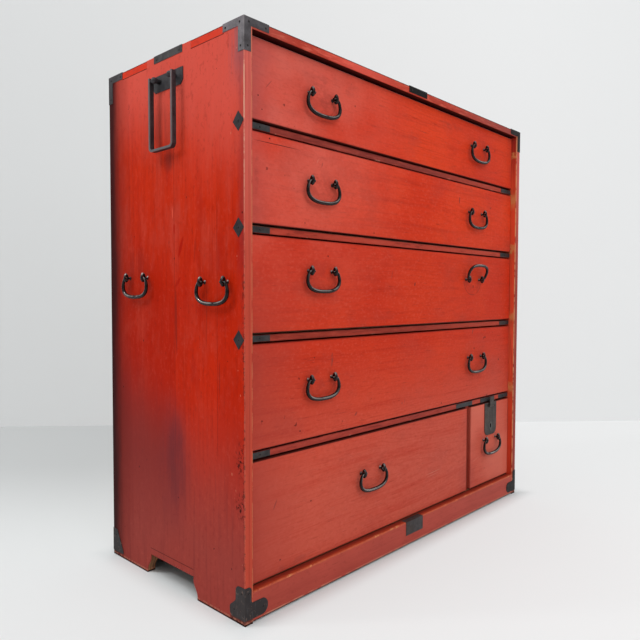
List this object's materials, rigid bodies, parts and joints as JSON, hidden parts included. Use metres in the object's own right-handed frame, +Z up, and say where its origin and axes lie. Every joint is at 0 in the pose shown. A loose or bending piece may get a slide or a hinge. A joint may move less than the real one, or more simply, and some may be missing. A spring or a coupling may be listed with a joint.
{
  "type": "chest of drawers",
  "caption": "Red-lacquered wooden chest of graduated drawers with iron bail handles, corner irons, a lockable small drawer and pole loops on its sides.",
  "frame": {"origin": "on the ground, under the middle of the object's box", "axes": "+X to the right of someone facing the drawers, -Y out of the drawer fronts, +Z up"},
  "size_m": [0.9438, 0.4116, 0.9268],
  "materials": {
    "red_lacquer": "worn red lacquer over visible grain",
    "bare_wood": "bare planed softwood, aged",
    "iron_sheet": "blackened sheet iron, matt",
    "iron_bar": "forged black iron, rubbed"
  },
  "bodies": {
    "case": {"top_panel": "red_lacquer", "left_side_panel": "red_lacquer", "right_side_panel": "red_lacquer", "base_rail": "red_lacquer", "divider_board_1": "red_lacquer", "divider_board_2": "red_lacquer", "divider_board_3": "red_lacquer", "divider_board_4": "red_lacquer", "partition_panel": "red_lacquer", "floor_board": "bare_wood", "back_planks": "bare_wood", "corner_irons": "iron_sheet", "edge_plates": "iron_sheet", "divider_plates": "iron_sheet", "diamond_plates": "iron_sheet", "side_bail_posts": "iron_bar", "pole_loop_mounts": "iron_bar"},
    "top_drawer": {"top_drawer_front": "red_lacquer", "top_drawer_walls": "bare_wood", "top_drawer_floor": "bare_wood", "top_drawer_bail_posts": "iron_bar"},
    "top_drawer_bail_left": {"top_drawer_bail_left": "iron_bar"},
    "top_drawer_bail_right": {"top_drawer_bail_right": "iron_bar"},
    "second_drawer": {"second_drawer_front": "red_lacquer", "second_drawer_walls": "bare_wood", "second_drawer_floor": "bare_wood", "second_drawer_bail_posts": "iron_bar"},
    "second_drawer_bail_left": {"second_drawer_bail_left": "iron_bar"},
    "second_drawer_bail_right": {"second_drawer_bail_right": "iron_bar"},
    "third_drawer": {"third_drawer_front": "red_lacquer", "third_drawer_walls": "bare_wood", "third_drawer_floor": "bare_wood", "third_drawer_bail_posts": "iron_bar"},
    "third_drawer_bail_left": {"third_drawer_bail_left": "iron_bar"},
    "third_drawer_bail_right": {"third_drawer_bail_right": "iron_bar"},
    "fourth_drawer": {"fourth_drawer_front": "red_lacquer", "fourth_drawer_walls": "bare_wood", "fourth_drawer_floor": "bare_wood", "fourth_drawer_bail_posts": "iron_bar"},
    "fourth_drawer_bail_left": {"fourth_drawer_bail_left": "iron_bar"},
    "fourth_drawer_bail_right": {"fourth_drawer_bail_right": "iron_bar"},
    "wide_drawer": {"wide_drawer_front": "red_lacquer", "wide_drawer_walls": "bare_wood", "wide_drawer_floor": "bare_wood", "wide_drawer_bail_posts": "iron_bar"},
    "wide_drawer_bail_middle": {"wide_drawer_bail_middle": "iron_bar"},
    "small_drawer": {"small_drawer_front": "red_lacquer", "small_drawer_walls": "bare_wood", "small_drawer_floor": "bare_wood", "small_drawer_bail_posts": "iron_bar", "lock_plate": "iron_sheet", "lock_case": "iron_sheet"},
    "lock_tongue": {"lock_tongue": "iron_sheet"},
    "small_drawer_bail_middle": {"small_drawer_bail_middle": "iron_bar"},
    "left_side_bail_front": {"left_side_bail_front": "iron_bar"},
    "left_side_bail_rear": {"left_side_bail_rear": "iron_bar"},
    "left_pole_loop": {"left_pole_loop": "iron_bar"},
    "right_side_bail_front": {"right_side_bail_front": "iron_bar"},
    "right_side_bail_rear": {"right_side_bail_rear": "iron_bar"},
    "right_pole_loop": {"right_pole_loop": "iron_bar"}
  },
  "joints": [
    {"name": "top_drawer_slide", "type": "slide", "parent": "case", "child": "top_drawer", "axis": [0, -1, 0], "range_m": [0, 0.3]},
    {"name": "top_drawer_bail_left_swing", "type": "hinge", "parent": "top_drawer", "child": "top_drawer_bail_left", "pos_m": [-0.273, -0.19156, 0.85075], "axis": [-1, 0, 0], "range_deg": [-6, 172]},
    {"name": "top_drawer_bail_right_swing", "type": "hinge", "parent": "top_drawer", "child": "top_drawer_bail_right", "pos_m": [0.264, -0.19156, 0.85725], "axis": [-1, 0, 0], "range_deg": [-6, 172]},
    {"name": "second_drawer_slide", "type": "slide", "parent": "case", "child": "second_drawer", "axis": [0, -1, 0], "range_m": [0, 0.3]},
    {"name": "second_drawer_bail_left_swing", "type": "hinge", "parent": "second_drawer", "child": "second_drawer_bail_left", "pos_m": [-0.273, -0.19156, 0.70413], "axis": [-1, 0, 0], "range_deg": [-6, 172]},
    {"name": "second_drawer_bail_right_swing", "type": "hinge", "parent": "second_drawer", "child": "second_drawer_bail_right", "pos_m": [0.257, -0.19156, 0.70413], "axis": [-1, 0, 0], "range_deg": [-6, 172]},
    {"name": "third_drawer_slide", "type": "slide", "parent": "case", "child": "third_drawer", "axis": [0, -1, 0], "range_m": [0, 0.3]},
    {"name": "third_drawer_bail_left_swing", "type": "hinge", "parent": "third_drawer", "child": "third_drawer_bail_left", "pos_m": [-0.273, -0.19156, 0.55263], "axis": [-1, 0, 0], "range_deg": [-6, 172]},
    {"name": "third_drawer_bail_right_swing", "type": "hinge", "parent": "third_drawer", "child": "third_drawer_bail_right", "pos_m": [0.248, -0.19156, 0.54863], "axis": [-1, 0, 0], "range_deg": [-166, 12]},
    {"name": "fourth_drawer_slide", "type": "slide", "parent": "case", "child": "fourth_drawer", "axis": [0, -1, 0], "range_m": [0, 0.3]},
    {"name": "fourth_drawer_bail_left_swing", "type": "hinge", "parent": "fourth_drawer", "child": "fourth_drawer_bail_left", "pos_m": [-0.273, -0.19156, 0.36725], "axis": [-1, 0, 0], "range_deg": [-6, 172]},
    {"name": "fourth_drawer_bail_right_swing", "type": "hinge", "parent": "fourth_drawer", "child": "fourth_drawer_bail_right", "pos_m": [0.26, -0.19156, 0.36725], "axis": [-1, 0, 0], "range_deg": [-6, 172]},
    {"name": "wide_drawer_slide", "type": "slide", "parent": "case", "child": "wide_drawer", "axis": [0, -1, 0], "range_m": [0, 0.3]},
    {"name": "wide_drawer_bail_middle_swing", "type": "hinge", "parent": "wide_drawer", "child": "wide_drawer_bail_middle", "pos_m": [-0.13, -0.19156, 0.176], "axis": [-1, 0, 0], "range_deg": [-6, 172]},
    {"name": "small_drawer_slide", "type": "slide", "parent": "case", "child": "small_drawer", "axis": [0, -1, 0], "range_m": [0, 0.3]},
    {"name": "lock_tongue_swing", "type": "hinge", "parent": "small_drawer", "child": "lock_tongue", "pos_m": [0.342, -0.18706, 0.241], "axis": [1, 0, 0], "range_deg": [0, 165]},
    {"name": "small_drawer_bail_middle_swing", "type": "hinge", "parent": "small_drawer", "child": "small_drawer_bail_middle", "pos_m": [0.339, -0.19156, 0.15975], "axis": [-1, 0, 0], "range_deg": [-6, 172]},
    {"name": "left_side_bail_front_swing", "type": "hinge", "parent": "case", "child": "left_side_bail_front", "pos_m": [-0.463, -0.12556, 0.532], "axis": [0, 1, 0], "range_deg": [-6, 172]},
    {"name": "left_side_bail_rear_swing", "type": "hinge", "parent": "case", "child": "left_side_bail_rear", "pos_m": [-0.463, 0.10444, 0.542], "axis": [0, 1, 0], "range_deg": [-6, 172]},
    {"name": "left_pole_loop_swing", "type": "hinge", "parent": "case", "child": "left_pole_loop", "pos_m": [-0.4665, 0.00494, 0.879], "axis": [0, 1, 0], "range_deg": [-2, 175]},
    {"name": "right_side_bail_front_swing", "type": "hinge", "parent": "case", "child": "right_side_bail_front", "pos_m": [0.463, -0.12556, 0.532], "axis": [0, -1, 0], "range_deg": [-6, 172]},
    {"name": "right_side_bail_rear_swing", "type": "hinge", "parent": "case", "child": "right_side_bail_rear", "pos_m": [0.463, 0.10444, 0.542], "axis": [0, -1, 0], "range_deg": [-6, 172]},
    {"name": "right_pole_loop_swing", "type": "hinge", "parent": "case", "child": "right_pole_loop", "pos_m": [0.4665, 0.00494, 0.879], "axis": [0, -1, 0], "range_deg": [-2, 175]}
  ]
}
